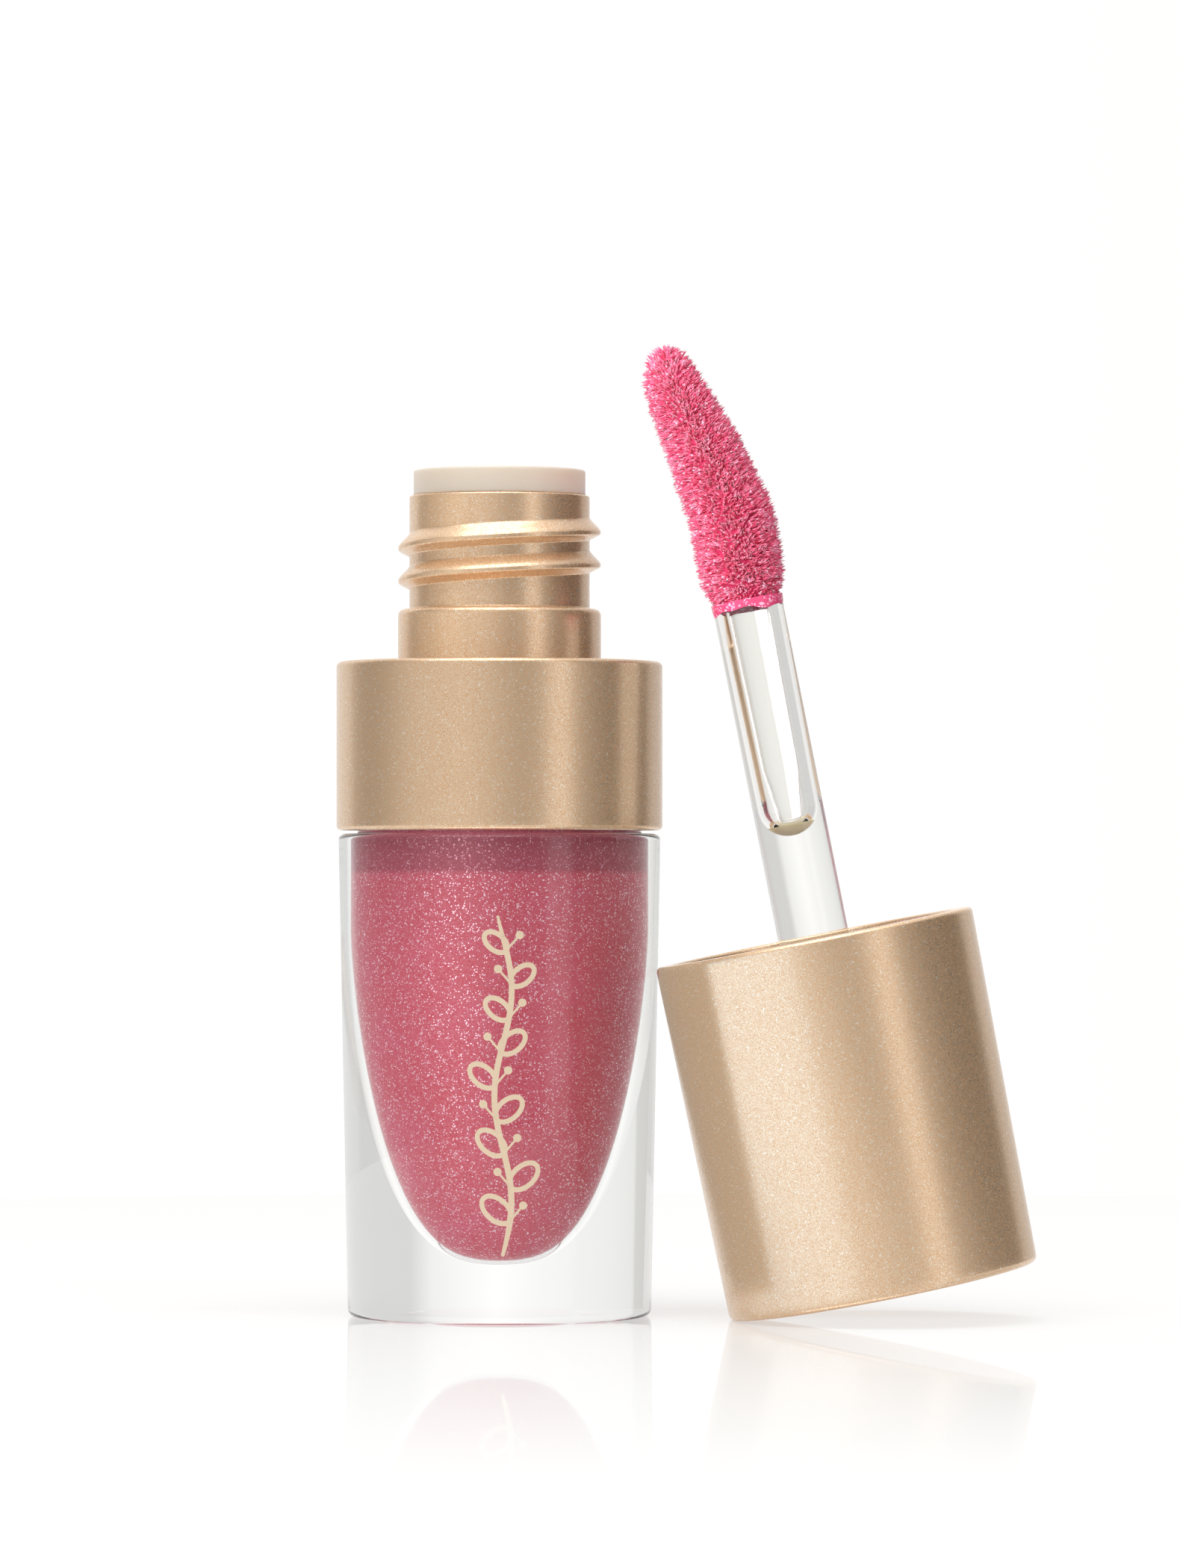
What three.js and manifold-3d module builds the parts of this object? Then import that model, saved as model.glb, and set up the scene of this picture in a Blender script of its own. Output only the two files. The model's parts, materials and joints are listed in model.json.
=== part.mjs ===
// Lip gloss tube, open: a thick-walled clear bottle with a gold collar and threaded neck, and beside it
// the gold screw cap, which carries the clear rod and the flocked doe-foot applicator.
// Millimetres, +Z up. The origin is the centre of the bottle's base, on the surface that it stands on.
// The cap stands on one edge of its closed end and leans against the bottle.

import * as THREE from 'three';
import { mergeVertices } from 'three/addons/utils/BufferGeometryUtils.js';
import Module from 'manifold-3d';

const wasm = await Module();
wasm.setup();

// ---- Fineness of the round pieces ----
const SIDES = 40;
const SLIM_SIDES = 24;
const CORNER_STEPS = 3;

// ---- Clearances ----
const GAP = 0.15;
const LIQUID_GAP = 0.1;

// ---- Bottle ----
const BOTTLE = {
  baseRadius: 9.62,
  topRadius: 10.22,
  baseEdge: 0.55,
  shoulder: 30.6,
  shoulderEdge: 0.4,
  spigotRadius: 9.0,
  spigotTop: 38.6,
};

// The cavity is a straight bore that closes in a bullet-shaped bottom.
const CAVITY = { radius: 6.88, curveTop: 24.5, bottom: 3.46, bend: 1.5, fullness: 2.8, steps: 11 };
const FILL_LEVEL = 28;

// ---- Neck piece: flange and skirt inside the collar, stepped ring and threaded neck above it ----
const NECK = {
  skirtBottom: 28.3,
  skirtRadius: 6.65,
  boreRadius: 4.35,
  flangeRadius: 8.9,
  flangeTop: 40.1,
  ringRadius: 6.44,
  ringTop: 44.84,
  ringEdge: 0.45,
  radius: 5.72,
  top: 52.02,
};
const THREAD = { pitch: 2.08, crestRadius: 6.42, firstCrest: 46.59, turns: 1.5, fade: 0.225, embed: 0.3 };

// ---- Collar ----
const COLLAR = { bottom: 30.8, top: 41.5, radius: 10.34, edge: 0.35, wallRadius: 9.2, topWall: 1.2 };

// ---- Wiper ----
const WIPER = {
  flangeRadius: 5.45,
  top: 53.66,
  skirtRadius: 4.2,
  skirtBottom: 45,
  boreRadius: 3.55,
  coneTop: 50.2,
  orificeRadius: 2.45,
  orificeTop: 46.8,
  lip: 0.4,
};

// ---- Cap, measured along its own axis from the closed end ----
const CAP = {
  endRadius: 9.84,
  rimRadius: 10.12,
  length: 22.66,
  endEdge: 0.4,
  rimEdge: 0.3,
  floor: 1.5,
  wall: 1.15,
};
const CAP_TILT = THREE.MathUtils.degToRad(11.2);
const CAP_PLACE = { x: 24.2, y: -4.0 };
const INNER_CAP = {
  radius: 8.5,
  bottom: 1.7,
  mouth: 18.4,
  boreRadius: 6.62,
  ceiling: 9.5,
  socketRadius: 2.36,
  socketBottom: 3,
  coreInner: 3.6,
  coreOuter: 7.3,
  coreTop: 8,
};
const CAP_THREAD = { crestRadius: 5.95, firstCrest: 15.2, turns: 1.0 };
const GASKET = { innerRadius: 2.6, outerRadius: 6.4, thickness: 0.95 };

// ---- Applicator, measured along the cap's axis from its closed end ----
const ROD = {
  bottom: 3.2,
  top: 44,
  lowRadius: 2.27,
  highRadius: 2.21,
  edge: 0.12,
  boreMouth: 1.45,
  boreEnd: 1.3,
  boreBottom: 29.2,
  boreRound: 1.9,
};
const SHANK = { bottom: 29.9, lowRadius: 0.7, midHeight: 33.5, midRadius: 1.12, highRadius: 1.28 };
const FLOCK = { bottom: 44.1, thickness: 0.5, coreGap: 0.08 };

// Sections of the doe-foot: height, offset of its centre, half width and half depth.
const DOE_FOOT = [
  [44.1, 0, 2.15, 2.15],
  [45.2, 0, 2.5, 2.48],
  [47.5, 0.07, 2.62, 2.56],
  [49.7, 0.1, 2.58, 2.56],
  [51.8, -0.36, 2.45, 2.5],
  [54.4, -0.85, 2.26, 2.4],
  [57, -1.56, 1.98, 2.14],
  [58.7, -1.95, 1.68, 1.76],
  [59.9, -2.04, 1.25, 1.28],
  [60.55, -1.92, 0.66, 0.66],
];
const DOE_FOOT_TOP = [60.7, -1.85];

// ---- Colours ----
const COLOURS = {
  clear: { color: 0xeef1ee, roughness: 0.04, metalness: 0, transparent: true, opacity: 0.35 },
  gloss: { color: 0xc8616f, roughness: 0.25, metalness: 0 },
  gold: { color: 0xc9a77e, roughness: 0.32, metalness: 0.85 },
  wiper: { color: 0xe9dac9, roughness: 0.4, metalness: 0 },
  liner: { color: 0xf2eee6, roughness: 0.45, metalness: 0 },
  foam: { color: 0xf6f5f1, roughness: 0.8, metalness: 0 },
  flock: { color: 0xdc5a7a, roughness: 0.9, metalness: 0 },
};

// ---------------------------------------------------------------------------------------------------
// Geometry helpers
// ---------------------------------------------------------------------------------------------------

/** Points of a circular arc in an outline, angles in degrees. */
function arc(radiusAt, heightAt, size, from, to, steps = CORNER_STEPS) {
  const points = [];
  for (let i = 0; i <= steps; i += 1) {
    const angle = THREE.MathUtils.degToRad(from + ((to - from) * i) / steps);
    points.push([radiusAt + size * Math.cos(angle), heightAt + size * Math.sin(angle)]);
  }
  return points;
}

/** Turns an outline of [radius, height] points about the Z axis. */
function turned(outline, sides = SIDES) {
  const points = outline.map(([radius, height]) => new THREE.Vector2(radius, height));
  const geometry = new THREE.LatheGeometry(points, sides);
  geometry.rotateX(Math.PI / 2);
  return closed(geometry);
}

/** Closes an outline on itself, for a ring that doesn't reach the axis. */
function ring(outline, sides = SIDES) {
  return turned([...outline, outline[0]], sides);
}

/** Merges shared vertices, drops empty triangles and makes the faces point out. */
function closed(geometry) {
  const bare = geometry.clone();
  bare.deleteAttribute('normal');
  bare.deleteAttribute('uv');
  const merged = mergeVertices(bare, 1e-5);
  const position = merged.getAttribute('position');
  const corners = [0, 1, 2].map(() => new THREE.Vector3());
  const index = [];
  let volume = 0;
  for (let i = 0; i < merged.index.count; i += 3) {
    const triangle = [0, 1, 2].map((k) => merged.index.getX(i + k));
    if (new Set(triangle).size === 3) {
      triangle.forEach((vertex, k) => corners[k].fromBufferAttribute(position, vertex));
      volume += corners[0].dot(corners[1].clone().cross(corners[2]));
      index.push(...triangle);
    }
  }
  merged.setIndex(volume < 0 ? index.reverse() : index);
  return merged;
}

/** A three.js geometry as a manifold solid. */
function toSolid(geometry) {
  const vertProperties = new Float32Array(geometry.getAttribute('position').array);
  const triVerts = new Uint32Array(geometry.index.array);
  return new wasm.Manifold(new wasm.Mesh({ numProp: 3, vertProperties, triVerts }));
}

/** A manifold solid as a three.js geometry. */
function toGeometry(solid) {
  const mesh = solid.getMesh();
  const geometry = new THREE.BufferGeometry();
  geometry.setAttribute('position', new THREE.BufferAttribute(new Float32Array(mesh.vertProperties), 3));
  geometry.setIndex(new THREE.BufferAttribute(new Uint32Array(mesh.triVerts), 1));
  return geometry;
}

/** Joins a row of rings of equal length into one closed skin, with a flat fan or a point at each end. */
function skin(rings, startPoint, endPoint) {
  const count = rings[0].length;
  const vertices = [...rings.flat(), startPoint, endPoint];
  const first = rings.length * count;
  const index = [];
  for (let j = 0; j < count; j += 1) {
    const next = (j + 1) % count;
    index.push(first, next, j);
    for (let i = 0; i + 1 < rings.length; i += 1) {
      const low = i * count;
      const high = low + count;
      index.push(low + j, low + next, high + next, low + j, high + next, high + j);
    }
    const last = (rings.length - 1) * count;
    index.push(last + j, last + next, first + 1);
  }
  const geometry = new THREE.BufferGeometry();
  geometry.setAttribute('position', new THREE.Float32BufferAttribute(vertices.flat(), 3));
  geometry.setIndex(index);
  return closed(geometry);
}

/** The mean of a ring of points, for the fan that closes its end. */
function middle(points) {
  return [0, 1, 2].map((k) => points.reduce((sum, point) => sum + point[k], 0) / points.length);
}

/**
 * A screw thread's ridge, right-handed. section lists [offset along the axis, share of the ridge's
 * height] from its upper foot over the crest to its lower foot. The ridge fades in and out.
 */
function threadRidge({ rootRadius, crestRadius, pitch, firstCrest, turns, fade, embed, startAngle, section }) {
  const rise = crestRadius - rootRadius;
  const sink = -Math.sign(rise) * embed;
  const rings = [];
  const steps = Math.round((turns + 2 * fade) * SIDES);
  for (let i = 0; i <= steps; i += 1) {
    const turn = (i / steps) * (turns + 2 * fade) - fade;
    const ends = Math.min(turn + fade, turns + fade - turn) / fade;
    const height = THREE.MathUtils.smoothstep(ends, 0, 1);
    const angle = startAngle + turn * 2 * Math.PI;
    rings.push(section.map(([along, share]) => {
      const radius = rootRadius + sink + (share === 0 ? 0 : (rise - sink) * (0.2 + 0.8 * height) * share);
      const z = firstCrest + pitch * turn + along;
      return [radius * Math.cos(angle), radius * Math.sin(angle), z];
    }));
  }
  return skin(rings, middle(rings[0]), middle(rings.at(-1)));
}

// ---------------------------------------------------------------------------------------------------
// Bottle side
// ---------------------------------------------------------------------------------------------------

/** The cavity's outline from its straight bore down to the point on the axis, shrunk by inset. */
function cavityCurve(inset) {
  const points = [];
  const radius = CAVITY.radius - inset;
  const bottom = CAVITY.bottom + inset;
  for (let i = 0; i <= CAVITY.steps; i += 1) {
    const depth = Math.sin((i / CAVITY.steps) * (Math.PI / 2));
    const share = (1 - depth ** CAVITY.bend) ** (1 / CAVITY.fullness);
    points.push([i === CAVITY.steps ? 0 : radius * share, CAVITY.curveTop - depth * (CAVITY.curveTop - bottom)]);
  }
  return points;
}

function bottleBody() {
  const { baseRadius, topRadius, baseEdge, shoulder, shoulderEdge, spigotRadius, spigotTop } = BOTTLE;
  return turned([
    [0, 0],
    ...arc(baseRadius - baseEdge, baseEdge, baseEdge, -90, 0),
    ...arc(topRadius - shoulderEdge, shoulder - shoulderEdge, shoulderEdge, 0, 90),
    [spigotRadius, shoulder],
    [spigotRadius, spigotTop],
    [CAVITY.radius, spigotTop],
    ...cavityCurve(0),
  ]);
}

function glossFill() {
  return turned([[0, FILL_LEVEL], [CAVITY.radius - LIQUID_GAP, FILL_LEVEL], ...cavityCurve(LIQUID_GAP)]);
}

function neckPiece() {
  const n = NECK;
  const body = ring([
    [n.boreRadius, n.skirtBottom],
    [n.skirtRadius, n.skirtBottom],
    [n.skirtRadius, BOTTLE.spigotTop + GAP],
    [n.flangeRadius, BOTTLE.spigotTop + GAP],
    [n.flangeRadius, n.flangeTop],
    [n.ringRadius, n.flangeTop],
    ...arc(n.ringRadius - n.ringEdge, n.ringTop - n.ringEdge, n.ringEdge, 0, 90),
    [n.radius, n.ringTop],
    [n.radius, n.top - GAP],
    [n.radius - GAP, n.top],
    [n.boreRadius, n.top],
  ]);
  const ridge = threadRidge({
    ...THREAD,
    rootRadius: NECK.radius,
    startAngle: -Math.PI,
    section: [[1.23, 0], [0.12, 0.96], [0, 1], [-0.12, 0.94], [-0.56, 0]],
  });
  return toGeometry(toSolid(body).add(toSolid(ridge)));
}

function collar() {
  const c = COLLAR;
  return ring([
    [c.wallRadius, c.bottom],
    ...arc(c.radius - c.edge, c.bottom + c.edge, c.edge, -90, 0),
    ...arc(c.radius - c.edge, c.top - c.edge, c.edge, 0, 90),
    [NECK.ringRadius + GAP, c.top],
    [NECK.ringRadius + GAP, c.top - c.topWall],
    [c.wallRadius, c.top - c.topWall],
  ]);
}

function wiper() {
  const w = WIPER;
  return ring([
    [w.skirtRadius, NECK.top + LIQUID_GAP],
    [w.flangeRadius, NECK.top + LIQUID_GAP],
    [w.flangeRadius, w.top - GAP],
    [w.flangeRadius - GAP, w.top],
    [w.boreRadius + GAP, w.top],
    [w.boreRadius, w.top - GAP],
    [w.boreRadius, w.coneTop],
    [w.orificeRadius, w.orificeTop],
    [w.orificeRadius, w.orificeTop - w.lip],
    [w.orificeRadius + w.lip, w.orificeTop - w.lip],
    [w.boreRadius, w.coneTop - 3 * w.lip],
    [w.boreRadius, w.skirtBottom],
    [w.skirtRadius - GAP, w.skirtBottom],
    [w.skirtRadius, w.skirtBottom + 2 * GAP],
  ]);
}

// ---------------------------------------------------------------------------------------------------
// Cap side, in the cap's own frame: closed end at 0, open rim up
// ---------------------------------------------------------------------------------------------------

function capShell() {
  const c = CAP;
  return turned([
    [0, 0],
    ...arc(c.endRadius - c.endEdge, c.endEdge, c.endEdge, -90, 0),
    ...arc(c.rimRadius - c.rimEdge, c.length - c.rimEdge, c.rimEdge, 0, 90),
    [c.rimRadius - c.wall + GAP, c.length],
    [c.rimRadius - c.wall, c.length - GAP],
    [c.endRadius - c.wall, c.floor],
    [0, c.floor],
  ]);
}

function innerCap() {
  const c = INNER_CAP;
  const body = turned([
    [0, c.bottom],
    [c.coreInner, c.bottom],
    [c.coreInner, c.coreTop],
    [c.coreOuter, c.coreTop],
    [c.coreOuter, c.bottom],
    [c.radius, c.bottom],
    [c.radius, c.mouth],
    [c.boreRadius + 2 * GAP, c.mouth],
    [c.boreRadius, c.mouth - 2 * GAP],
    [c.boreRadius, c.ceiling],
    [c.socketRadius, c.ceiling],
    [c.socketRadius, c.socketBottom],
    [0, c.socketBottom],
  ]);
  const ridge = threadRidge({
    ...THREAD,
    ...CAP_THREAD,
    rootRadius: c.boreRadius,
    startAngle: 0,
    section: [[0.45, 0], [0.12, 1], [-0.12, 1], [-0.45, 0]],
  });
  return toGeometry(toSolid(body).add(toSolid(ridge)));
}

function capGasket() {
  const low = INNER_CAP.ceiling + GAP;
  return ring([
    [GASKET.innerRadius, low],
    [GASKET.outerRadius, low],
    [GASKET.outerRadius, low + GASKET.thickness],
    [GASKET.innerRadius, low + GASKET.thickness],
  ]);
}

function applicatorRod() {
  const r = ROD;
  const round = [];
  for (let i = 0; i <= CORNER_STEPS; i += 1) {
    const angle = (i / CORNER_STEPS) * (Math.PI / 2);
    const radius = i === CORNER_STEPS ? 0 : r.boreEnd * Math.cos(angle);
    round.push([radius, r.boreBottom + r.boreRound * (1 - Math.sin(angle))]);
  }
  return turned([
    [0, r.bottom],
    [r.lowRadius - r.edge, r.bottom],
    [r.lowRadius, r.bottom + r.edge],
    [r.highRadius, r.top - r.edge],
    [r.highRadius - r.edge, r.top],
    [r.boreMouth, r.top],
    ...round,
  ], SLIM_SIDES);
}

/** The doe-foot's skin, shrunk by inset, from the height bottom upwards. */
function doeFoot(inset, bottom) {
  const sections = DOE_FOOT.map(([height, ...rest], i) => [i === 0 ? bottom : height - inset, ...rest]);
  const rings = sections.map(([height, centre, halfWidth, halfDepth]) => {
    const points = [];
    for (let j = 0; j < SLIM_SIDES; j += 1) {
      const angle = (j / SLIM_SIDES) * 2 * Math.PI;
      const x = centre + (halfWidth - inset) * Math.cos(angle);
      points.push([x, (halfDepth - inset) * Math.sin(angle), height]);
    }
    return points;
  });
  const [topHeight, topCentre] = DOE_FOOT_TOP;
  return skin(rings, middle(rings[0]), [topCentre, 0, topHeight - inset]);
}

function tipFlock() {
  const outside = toSolid(doeFoot(0, FLOCK.bottom));
  const inside = toSolid(doeFoot(FLOCK.thickness, FLOCK.bottom - 1));
  return toGeometry(outside.subtract(inside));
}

function tipCore() {
  const shank = turned([
    [0, SHANK.bottom],
    [SHANK.lowRadius, SHANK.bottom],
    [SHANK.midRadius, SHANK.midHeight],
    [SHANK.highRadius, FLOCK.bottom + 1],
    [0, FLOCK.bottom + 1],
  ], SLIM_SIDES);
  const foot = doeFoot(FLOCK.thickness + FLOCK.coreGap, FLOCK.bottom + LIQUID_GAP);
  return toGeometry(toSolid(shank).add(toSolid(foot)));
}

// ---------------------------------------------------------------------------------------------------
// Assembly
// ---------------------------------------------------------------------------------------------------

function part(name, geometry, colour) {
  const mesh = new THREE.Mesh(geometry, new THREE.MeshStandardMaterial(COLOURS[colour]));
  mesh.name = name;
  return mesh;
}

const bottle = new THREE.Group();
bottle.add(
  part('bottle_body', bottleBody(), 'clear'),
  part('gloss_fill', glossFill(), 'gloss'),
  part('neck_sleeve', neckPiece(), 'gold'),
  part('collar', collar(), 'gold'),
  part('wiper', wiper(), 'wiper'),
);

// The cap tips about one edge of its closed end, so that edge's rounding just meets the floor.
const capHeight = (CAP.endRadius - CAP.endEdge) * Math.sin(CAP_TILT) + CAP.endEdge * (1 - Math.cos(CAP_TILT));
const cap = new THREE.Group();
cap.position.set(CAP_PLACE.x, CAP_PLACE.y, capHeight);
cap.rotation.y = -CAP_TILT;
cap.add(
  part('cap_shell', capShell(), 'gold'),
  part('inner_cap', innerCap(), 'liner'),
  part('cap_gasket', capGasket(), 'foam'),
  part('applicator_rod', applicatorRod(), 'clear'),
  part('tip_core', tipCore(), 'liner'),
  part('tip_flock', tipFlock(), 'flock'),
);

const tube = new THREE.Group();
tube.name = 'lip_gloss_tube';
tube.add(bottle, cap);

export default tube;
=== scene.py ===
"""The looks of the lip gloss tube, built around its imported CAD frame.

Everything is in metres in the row frame, +Z up, with the bottle's base centre at the origin. Outlines
are written in millimetres as [radius, height, rounding] corners and turned about an axis.
"""

import json
import math

import bmesh
import bpy
import numpy as np
from mathutils import Matrix, Vector

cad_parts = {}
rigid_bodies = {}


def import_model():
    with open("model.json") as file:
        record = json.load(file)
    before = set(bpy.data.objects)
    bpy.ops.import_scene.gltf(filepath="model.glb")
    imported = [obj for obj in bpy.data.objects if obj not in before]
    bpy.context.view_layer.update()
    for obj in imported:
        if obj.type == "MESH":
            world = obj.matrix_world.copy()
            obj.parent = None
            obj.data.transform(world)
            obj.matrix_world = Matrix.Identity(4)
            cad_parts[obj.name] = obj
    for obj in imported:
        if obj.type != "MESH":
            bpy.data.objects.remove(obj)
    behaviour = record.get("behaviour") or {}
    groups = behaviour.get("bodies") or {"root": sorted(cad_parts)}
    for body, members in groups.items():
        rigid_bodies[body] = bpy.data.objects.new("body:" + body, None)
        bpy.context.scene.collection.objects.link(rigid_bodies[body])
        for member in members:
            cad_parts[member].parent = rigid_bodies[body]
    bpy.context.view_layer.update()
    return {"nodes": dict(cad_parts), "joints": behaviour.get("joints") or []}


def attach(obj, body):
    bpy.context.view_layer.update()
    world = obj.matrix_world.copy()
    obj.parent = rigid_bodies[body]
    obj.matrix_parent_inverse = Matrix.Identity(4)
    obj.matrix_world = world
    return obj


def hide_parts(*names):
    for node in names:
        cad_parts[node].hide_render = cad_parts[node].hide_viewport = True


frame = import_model()

MM = 0.001
RANDOM = np.random.default_rng(20)

# ---- Places from the frame -----------------------------------------------------------------------

JOINTS = {joint["name"]: joint for joint in frame["joints"]}
CAP_BASE = Vector(JOINTS["cap_turn"]["pos_m"])
CAP_AXIS = Vector(JOINTS["cap_turn"]["axis"]).normalized()
UP = Vector((0, 0, 1))


def cap_matrix():
    """The cap's own frame: its closed end at 0, its axis up, its lean in the XZ plane."""
    across = Vector((0, 1, 0)).cross(CAP_AXIS).normalized()
    turn = Matrix((across, CAP_AXIS.cross(across), CAP_AXIS)).transposed().to_4x4()
    return Matrix.Translation(CAP_BASE) @ turn


CAP_PLACE = cap_matrix()
BOTTLE_PLACE = Matrix.Identity(4)


def spans(node, base=Vector(), axis=UP):
    """Lowest and highest place of a CAD node along an axis and its largest radius, in millimetres."""
    points = np.array([v.co for v in frame["nodes"][node].data.vertices]) - np.array(base)
    along = points @ np.array(axis)
    out = np.linalg.norm(points - along[:, None] * np.array(axis), axis=1)
    return along.min() / MM, along.max() / MM, out.max() / MM


_, SPIGOT_TOP, BOTTLE_RADIUS = spans("bottle_body")
GLOSS_BOTTOM, FILL_LEVEL, GLOSS_RADIUS = spans("gloss_fill")
COLLAR_BOTTOM, COLLAR_TOP, COLLAR_RADIUS = spans("collar")
SKIRT_BOTTOM, NECK_TOP, FLANGE_RADIUS = spans("neck_sleeve")
WIPER_BOTTOM, WIPER_TOP, WIPER_RADIUS = spans("wiper")
_, CAP_LENGTH, CAP_RADIUS = spans("cap_shell", CAP_BASE, CAP_AXIS)
LINER_BOTTOM, LINER_TOP, LINER_RADIUS = spans("inner_cap", CAP_BASE, CAP_AXIS)
GASKET_BOTTOM, GASKET_TOP, GASKET_RADIUS = spans("cap_gasket", CAP_BASE, CAP_AXIS)
ROD_BOTTOM, ROD_TOP, ROD_RADIUS = spans("applicator_rod", CAP_BASE, CAP_AXIS)
SHANK_BOTTOM, _, _ = spans("tip_core", CAP_BASE, CAP_AXIS)

# ---- Details that the frame's boxes don't give, in millimetres -----------------------------------

BASE_RADIUS = BOTTLE_RADIUS - 0.6
SHOULDER = COLLAR_BOTTOM - 0.2
SPIGOT_RADIUS = 9.0
CAVITY_RADIUS = GLOSS_RADIUS + 0.1
CAVITY_BOTTOM = GLOSS_BOTTOM - 0.1
CAVITY_TOP = 24.5
CAVITY_BEND = 1.5
CAVITY_FULLNESS = 2.8
FILM = 0.03
FILM_TOP = SHOULDER + 1.2

COLLAR_BORE = 9.2
COLLAR_TOP_WALL = 1.2

SKIRT_RADIUS = 6.65
NECK_BORE = 4.35
RING_RADIUS = 6.44
RING_TOP = 44.84
NECK_RADIUS = 5.72
THREAD_PITCH = 2.08
THREAD_RISE = 0.7
THREAD_START = 46.59
THREAD_TURNS = 1.5
THREAD_FADE = 0.225
THREAD_CREST = 0.1

WIPER_BORE = 3.55
WIPER_SKIRT = 4.2
WIPER_CONE_TOP = 50.2
ORIFICE_RADIUS = 2.45
ORIFICE_TOP = 46.8

CAP_END_RADIUS = CAP_RADIUS - 0.28
CAP_WALL = 1.15
CAP_FLOOR = 1.5
LINER_BORE = 6.62
LINER_CEILING = 9.5
LINER_SOCKET = 2.36
LINER_SOCKET_BOTTOM = 3.0
LINER_CORE_INNER = 3.6
LINER_CORE_OUTER = 7.3
LINER_CORE_TOP = 8.0
LINER_THREAD_START = 15.2
LINER_THREAD_RISE = -0.67
LINER_THREAD_TURNS = 1.0
GASKET_BORE = 2.6

ROD_TIP_RADIUS = ROD_RADIUS - 0.06
ROD_BORE = 1.45
ROD_BORE_END = 1.3
ROD_BORE_BOTTOM = 29.2
ROD_BORE_ROUND = 1.9
GLUE_RADIUS = 1.0
SHANK_END_RADIUS = 0.7
SHANK_MIDDLE = 33.5
SHANK_MIDDLE_RADIUS = 1.12
SHANK_TOP = 45.1
SHANK_TOP_RADIUS = 1.28

# Sections of the doe-foot: height, offset of its centre, half width and half depth.
DOE_FOOT = [
    (44.1, 0.0, 2.15, 2.15),
    (45.2, 0.0, 2.5, 2.48),
    (47.5, 0.07, 2.62, 2.56),
    (49.7, 0.1, 2.58, 2.56),
    (51.8, -0.36, 2.45, 2.5),
    (54.4, -0.85, 2.26, 2.4),
    (57.0, -1.56, 1.98, 2.14),
    (58.7, -1.95, 1.68, 1.76),
    (59.9, -2.04, 1.25, 1.28),
    (60.55, -1.92, 0.66, 0.66),
    (60.7, -1.85, 0.02, 0.02),
]
FLOCK_BOTTOM = DOE_FOOT[0][0]
SMEAR_BOTTOM = FLOCK_BOTTOM - 0.42
FELT_INSET = 0.5
FIBRES = 13000
CLUMPS = 900


# ---- Outlines and turned meshes ------------------------------------------------------------------


def rounded(corners, closed=True, steps=6):
    """Corners of [radius, height, rounding] as a dense outline, with a support point beside each arc."""
    count = len(corners)
    points = []
    for i, (radius, height, size) in enumerate(corners):
        here = np.array([radius, height], float)
        if size == 0 or (not closed and i in (0, count - 1)):
            points.append(here)
            continue
        before = np.array(corners[i - 1][:2], float) - here
        after = np.array(corners[(i + 1) % count][:2], float) - here
        to_before = before / np.linalg.norm(before)
        to_after = after / np.linalg.norm(after)
        half = math.acos(np.clip(to_before @ to_after, -1, 1)) / 2
        cut = size / math.tan(half)
        middle = to_before + to_after
        centre = here + middle / np.linalg.norm(middle) * size / math.sin(half)
        start = here + to_before * cut
        end = here + to_after * cut
        first = math.atan2(*(start - centre)[::-1])
        sweep = math.atan2(*(end - centre)[::-1]) - first
        sweep = (sweep + math.pi) % (2 * math.pi) - math.pi
        lead = min(size, 0.4 * (np.linalg.norm(before) - cut))
        trail = min(size, 0.4 * (np.linalg.norm(after) - cut))
        points.append(start + to_before * lead)
        for k in range(steps + 1):
            angle = first + sweep * k / steps
            points.append(centre + size * np.array([math.cos(angle), math.sin(angle)]))
        points.append(end + to_after * trail)
    return [tuple(p) for p in points]


def finished(name, vertices, faces, place, sharp=40):
    """A smooth-shaded mesh object of millimetre vertices, put where its frame is."""
    mesh = bpy.data.meshes.new(name)
    mesh.from_pydata([tuple(v) for v in np.asarray(vertices) * MM], [], faces)
    solid = bmesh.new()
    solid.from_mesh(mesh)
    bmesh.ops.recalc_face_normals(solid, faces=solid.faces)
    solid.to_mesh(mesh)
    solid.free()
    mesh.transform(place)
    mesh.shade_smooth()
    mesh.set_sharp_from_angle(angle=math.radians(sharp))
    piece = bpy.data.objects.new(name, mesh)
    bpy.context.scene.collection.objects.link(piece)
    return piece


def turned(name, outline, place=BOTTLE_PLACE, closed=True, sides=160, swell=None, sharp=40):
    """Turns an outline about its frame's axis. swell(radius, height, angles) may move points outwards."""
    angles = np.arange(sides) / sides * 2 * math.pi
    vertices = []
    rows = []
    for radius, height in outline:
        if radius < 1e-6:
            rows.append([len(vertices)] * sides)
            vertices.append((0, 0, height))
            continue
        radii = np.full(sides, radius) if swell is None else swell(radius, height, angles)
        rows.append(list(range(len(vertices), len(vertices) + sides)))
        vertices.extend(zip(radii * np.cos(angles), radii * np.sin(angles), np.full(sides, height)))
    if closed:
        rows.append(rows[0])
    faces = []
    for low, high in zip(rows, rows[1:]):
        for j in range(sides):
            k = (j + 1) % sides
            corners = [low[j], low[k], high[k], high[j]]
            faces.append(tuple(dict.fromkeys(corners)))
    return finished(name, vertices, [f for f in faces if len(f) > 2], place, sharp)


def between(start, end, rows):
    """Heights from start to end, both left out, for rows of mesh on a straight wall."""
    return np.linspace(start, end, rows + 2)[1:-1]


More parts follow.
